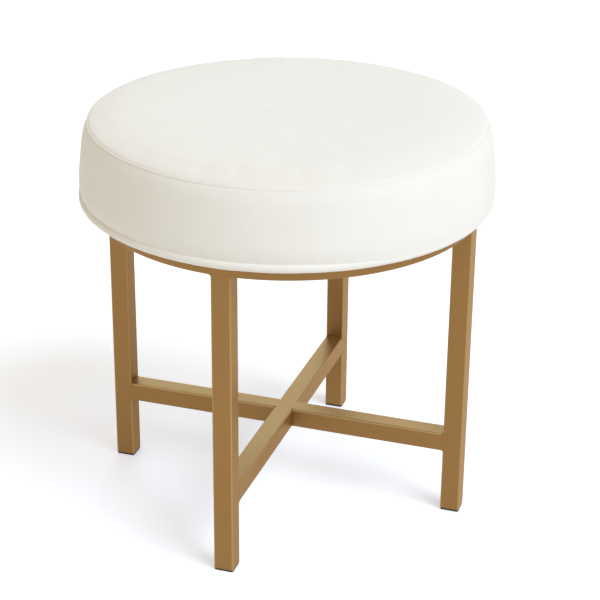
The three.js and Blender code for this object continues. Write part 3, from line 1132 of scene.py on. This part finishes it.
def cushion_form(sizes):
    """The cushion's plain closed form in three parts, and the points that are held."""
    foot = band_low.z
    rise = panel_high.z - seam_level
    mesh = bmesh.new()

    def top_point(x, y, share):
        height = crown_height(share)
        level = seam_level + seam_sway(x, y, sizes) * share ** CROWN_POWER
        return sizes.overhang * shoulder(height), level + rise * height

    top = disc_faces(mesh, sizes.seam_radius, top_point, TOP, False)
    bottom = disc_faces(mesh, sizes.foot_radius, lambda x, y, share: (0, foot), FOOT, True)
    rows = [bottom]
    for row in range(1, BAND_ROWS):
        share = (1 - math.cos(math.pi * row / BAND_ROWS)) / 2
        scale = band_radius(share, sizes) / sizes.seam_radius
        line = []
        for x, y, height in (vertex.co for vertex in top):
            point = (x * scale, y * scale, foot + (height - foot) * share)
            line.append(mesh.verts.new(point))
        rows.append(line)
    rows.append(top)
    for low, high in zip(rows, rows[1:]):
        for index, corner in enumerate(low):
            after = (index + 1) % len(low)
            face = mesh.faces.new([corner, low[after], high[after], high[index]])
            face.material_index = BAND
    mesh.verts.index_update()
    held = {vertex.index for vertex in top}
    for face in mesh.faces:
        if face.material_index == FOOT:
            held.update(vertex.index for vertex in face.verts)
    data = bpy.data.meshes.new("cushion_form")
    mesh.to_mesh(data)
    mesh.free()
    return shown("cushion_form", data), sorted(held)


def filled(form, held, sizes):
    """Fills the form as cloth under pressure, with its points kept near the plain form."""
    before = [vertex.co.copy() for vertex in form.data.vertices]
    group = form.vertex_groups.new(name="held")
    group.add(held, 1.0, "REPLACE")
    select_only(form)
    modifier = form.modifiers.new("Cloth", "CLOTH")
    cloth = modifier.settings
    for key, value in CLOTH.items():
        setattr(cloth, key, value)
    cloth.shrink_min = -sizes.gather
    cloth.effector_weights.gravity = 0
    modifier.collision_settings.use_collision = False
    scene = bpy.context.scene
    for number in range(FILL_FRAMES):
        scene.frame_set(number + 1)
    bpy.ops.object.modifier_apply(modifier=modifier.name)
    for vertex, start in zip(form.data.vertices, before):
        move = vertex.co - start
        if move.length > sizes.puff:
            vertex.co = start + move * (sizes.puff / move.length)
    scene.frame_set(1)
    return form


def closing_seam(piece, depth):
    """Draws the cloth in along an upright line at the back, where the band's ends are sewn."""
    for vertex in piece.data.vertices:
        point = vertex.co
        if point.y > 0:
            point.y -= depth * math.exp(-((point.x / CLOSING_REACH) ** 2))


def shut_seam(piece, sizes):
    """Brings the cloth's edge at the top seam out over the piping, where that is sunk."""
    for vertex in piece.data.vertices:
        point = vertex.co
        level = seam_level + seam_sway(point.x, point.y, sizes)
        share = max(0.0, 1 - abs(point.z - level) / SHUT_REACH) ** 2
        share *= tucked(math.atan2(point.y, point.x), sizes)
        point.xy *= 1 + sizes.shut * share / sizes.seam_radius


def cover_tuck(piece, sizes):
    """Brings the band's foot down over the welt, where the welt is tucked in under it."""
    for vertex in piece.data.vertices:
        point = vertex.co
        share = max(0.0, 1 - (point.z - band_low.z) / COVER_REACH) ** 2
        share *= tucked(math.atan2(point.y, point.x), sizes)
        point.z -= sizes.tuck_cover * share
        point.xy *= 1 + sizes.tuck_flare * share / sizes.foot_radius


def write_back(mesh, piece):
    """Ends the work on a piece's mesh: one material, and smooth all over."""
    for face in mesh.faces:
        face.material_index = 0
        face.smooth = True
    mesh.to_mesh(piece.data)
    mesh.free()


def part_of(form, name, part, sizes):
    """One part of the cushion's skin as a closed sheet of cloth."""
    piece = copied(form, name, 0)
    mesh = bmesh.new()
    mesh.from_mesh(piece.data)
    others = [face for face in mesh.faces if face.material_index != part]
    bmesh.ops.delete(mesh, geom=others, context="FACES")
    write_back(mesh, piece)
    finish_modifier(piece, "SUBSURF", levels=1, render_levels=1)
    shut_seam(piece, sizes)
    if part == BAND:
        closing_seam(piece, sizes.closing)
        cover_tuck(piece, sizes)
    finish_modifier(piece, "SOLIDIFY", thickness=sizes.cover, offset=-1.0)
    return piece


class STOOL_OT_cushion(bpy.types.Operator):
    """Builds the filled cushion and cuts its cover into a top panel and a side band"""

    bl_idname = "stool.cushion"
    bl_label = "Cushion"

    def execute(self, context):
        sizes = settings("stool_seat")
        form, held = cushion_form(sizes)
        filled(form, held, sizes)
        panel = part_of(form, "top_panel", TOP, sizes)
        place(panel, "seat_fabric", "seat_top_panel")
        band = part_of(form, "side_band", BAND, sizes)
        place(band, "seat_fabric", "seat_side_band")
        self.filling(form, sizes)
        return {"FINISHED"}

    def filling(self, form, sizes):
        """The wadded foam inside the cover, standing on the board."""
        mesh = bmesh.new()
        mesh.from_mesh(form.data)
        mesh.normal_update()
        moves = [(vertex, vertex.normal.copy()) for vertex in mesh.verts]
        for vertex, normal in moves:
            vertex.co -= normal * (sizes.cover + GAP)
            vertex.co.z = max(vertex.co.z, foam_low.z)
        write_back(mesh, form)
        form.name = "filling"
        place(form, "batting", "seat_foam", "seat_batting")


# Steps round a cord, and its creases: their height as a share of the cord's radius, their
# sizes as (how close they lie, share), how much they slant and how fast they change across
CORD_STEPS = 720
CREASE = 0.09
CREASE_SIZES = ((62, 0.6), (23, 0.4))
CREASE_SLANT = 0.02
CREASE_CHANGE = 0.05


def cord_ring(name, radius, thick, height, rings, course):
    """A covered cord in a circle, with small creases.

    course gives, for a turn, how far the cord runs inside its circle and how far above it.
    """
    cord = begin(
        bpy.ops.mesh.primitive_torus_add, major_radius=radius, minor_radius=thick,
        major_segments=CORD_STEPS, minor_segments=rings, location=(0, 0, height))
    close(cord, name)
    for vertex in cord.data.vertices:
        turn = math.atan2(vertex.co.y, vertex.co.x)
        middle = Vector((math.cos(turn) * radius, math.sin(turn) * radius, height))
        out = vertex.co - middle
        lean = math.atan2(out.z, math.hypot(vertex.co.x, vertex.co.y) - radius)
        slant = turn + lean * CREASE_SLANT
        twist = Vector((math.cos(slant), math.sin(slant), lean * CREASE_CHANGE))
        crease = sum(noise.noise(twist * close_by) * share for close_by, share in CREASE_SIZES)
        inside, above = course(turn)
        middle.xy *= 1 - inside / radius
        middle.z += above
        vertex.co = middle + out * (1 + CREASE * crease)
    cord.data.shade_smooth()
    return cord


class STOOL_OT_welts(bpy.types.Operator):
    """Builds the thin piping of the top seam and the fat welt of the bottom one"""

    bl_idname = "stool.welts"
    bl_label = "Piping and welt"

    def execute(self, context):
        sizes = settings("stool_seat")

        def seam_course(turn):
            sunk = sizes.sunk * (1 + math.cos(turn - sizes.sunk_turn)) / 2
            return sunk, seam_sway(math.cos(turn), math.sin(turn), sizes)

        def foot_course(turn):
            share = tucked(turn, sizes)
            return sizes.tuck * share, -sizes.tuck_sag * share

        piping = cord_ring(
            "top_piping", sizes.seam_radius, piping_radius, seam_level, 12, seam_course)
        place(piping, "seat_fabric", "seat_top_piping")
        height = (welt_low.z + welt_high.z) / 2 + sizes.welt_lift
        welt = cord_ring(
            "bottom_welt", sizes.welt_line, sizes.welt_thick, height, 28, foot_course)
        place(welt, "seat_fabric", "seat_bottom_welt")
        return {"FINISHED"}


# Stage

# Lamps: turn round the stool, angle above the level and width in degrees, and light
KEY_LAMP = (70, 47, 36, (0.485, 0.56, 0.67))
BACK_LAMP = (198, 26, 30, (0.12, 0.18, 0.235))
SURROUNDINGS = (0.545, 0.465, 0.33, 1)
FLOOR_COLOUR = (0.93, 0.93, 0.93, 1)
FLOOR_GLOW = (0.335, 0.36, 0.43, 1)
FLOOR_RADIUS = 9


def direction(azimuth, elevation):
    """The direction from the stool to a place round it; azimuth 0 is in front."""
    level = math.cos(elevation)
    return Vector((
        math.sin(azimuth) * level, -math.cos(azimuth) * level, math.sin(elevation)))


def sun(name, azimuth, elevation, width, light):
    """A distant soft lamp. light is what it adds to a white surface that faces it."""
    data = bpy.data.lights.new(name, "SUN")
    data.energy = math.pi
    data.color = light
    data.angle = math.radians(width)
    lamp = shown(name, data)
    lamp.rotation_mode = "QUATERNION"
    away = direction(math.radians(azimuth), math.radians(elevation))
    lamp.rotation_quaternion = away.to_track_quat("Z", "Y")


def seen_ray(tree):
    """A value that is 1 for what the camera sees itself, in gloss or through glass."""
    ray = node(tree, "ShaderNodeLightPath").outputs
    seen = maths(tree, "MAXIMUM", ray["Is Camera Ray"], ray["Is Glossy Ray"])
    return maths(tree, "MAXIMUM", seen, ray["Is Transmission Ray"])


class STOOL_OT_stage(bpy.types.Operator):
    """Sets up the floor, the light and the camera"""

    bl_idname = "stool.stage"
    bl_label = "Stage"

    def execute(self, context):
        self.floor()
        self.world()
        sun("key", *KEY_LAMP)
        sun("back", *BACK_LAMP)
        self.camera()
        context.scene.view_settings.view_transform = "Standard"
        return {"FINISHED"}

    def floor(self):
        """A wide pale floor that renders white where nothing shades it."""
        floor = close(begin_disc(FLOOR_RADIUS, 0, 96), "floor")
        material, tree, shader, _ = new_material(
            "Floor", Base_Color=FLOOR_COLOUR, Roughness=0.9, Specular_IOR_Level=0.1)
        glow = node(tree, "ShaderNodeEmission", Color=FLOOR_GLOW, Strength=seen_ray(tree))
        both = node(tree, "ShaderNodeAddShader")
        feed(tree, both.inputs[0], shader.outputs[0])
        feed(tree, both.inputs[1], glow.outputs[0])
        feed(tree, tree.nodes["Material Output"].inputs["Surface"], both.outputs[0])
        floor.data.materials.append(material)

    def world(self):
        """An even light all round, which is plain white where it is seen."""
        world = bpy.data.worlds.new("Studio")
        bpy.context.scene.world = world
        world.use_nodes = True
        tree = world.node_tree
        light = tree.nodes["Background"]
        light.inputs["Color"].default_value = SURROUNDINGS
        backdrop = node(tree, "ShaderNodeBackground", Color=(1, 1, 1, 1), Strength=1.0)
        choice = node(tree, "ShaderNodeMixShader")
        shares = (seen_ray(tree), light.outputs[0], backdrop.outputs[0])
        for target, value in zip(choice.inputs, shares):
            feed(tree, target, value)
        feed(tree, tree.nodes["World Output"].inputs["Surface"], choice.outputs[0])

    def camera(self):
        """The camera, at the photograph's place."""
        stage = settings("stool_stage")
        back = direction(stage.azimuth, stage.elevation)
        right = Vector((math.cos(stage.azimuth), math.sin(stage.azimuth), 0))
        data = bpy.data.cameras.new("camera")
        data.lens = stage.lens
        data.sensor_width = 36
        data.clip_end = 60
        camera = shown("camera", data)
        aim = right * stage.aim_right + Vector((0, 0, stage.aim_height))
        turned = back.to_track_quat("Z", "Y").to_matrix().to_4x4()
        place_at = Matrix.Translation(aim + back * stage.distance)
        camera.matrix_world = place_at @ Matrix.Rotation(stage.roll, 4, back) @ turned
        bpy.context.scene.camera = camera


class STOOL_PT_panel(bpy.types.Panel):
    """The steps that build the stool, in order"""

    bl_idname = "STOOL_PT_panel"
    bl_label = "Vanity stool"
    bl_space_type = "VIEW_3D"
    bl_region_type = "UI"
    bl_category = "Stool"

    def draw(self, context):
        for step in STEPS:
            self.layout.operator(step.bl_idname)
        for name in GROUPS.values():
            box = self.layout.box()
            owner = getattr(context.scene, name)
            for key in owner.bl_rna.properties.keys():
                if key not in ("rna_type", "name"):
                    box.prop(owner, key)


GROUPS = {
    StoolFrameSizes: "stool_frame",
    StoolSeatSizes: "stool_seat",
    StoolFinishes: "stool_finishes",
    StoolStage: "stool_stage",
}
STEPS = (
    STOOL_OT_finishes, STOOL_OT_stage, STOOL_OT_hoop, STOOL_OT_legs, STOOL_OT_stretchers,
    STOOL_OT_welds, STOOL_OT_glides, STOOL_OT_tabs, STOOL_OT_fixings, STOOL_OT_board,
    STOOL_OT_hem, STOOL_OT_dust_cover, STOOL_OT_cushion, STOOL_OT_welts,
)


def register():
    """Registers the groups of properties, the steps and the panel."""
    for group, name in GROUPS.items():
        bpy.utils.register_class(group)
        setattr(bpy.types.Scene, name, bpy.props.PointerProperty(type=group))
    for step in (*STEPS, STOOL_PT_panel):
        bpy.utils.register_class(step)


def unregister():
    """Takes away what register adds."""
    for step in reversed((*STEPS, STOOL_PT_panel)):
        bpy.utils.unregister_class(step)
    for group, name in reversed(GROUPS.items()):
        delattr(bpy.types.Scene, name)
        bpy.utils.unregister_class(group)


def main():
    """Builds the stool."""
    register()
    for step in STEPS:
        getattr(bpy.ops.stool, step.bl_idname.removeprefix("stool."))()


if __name__ == "__main__":
    main()
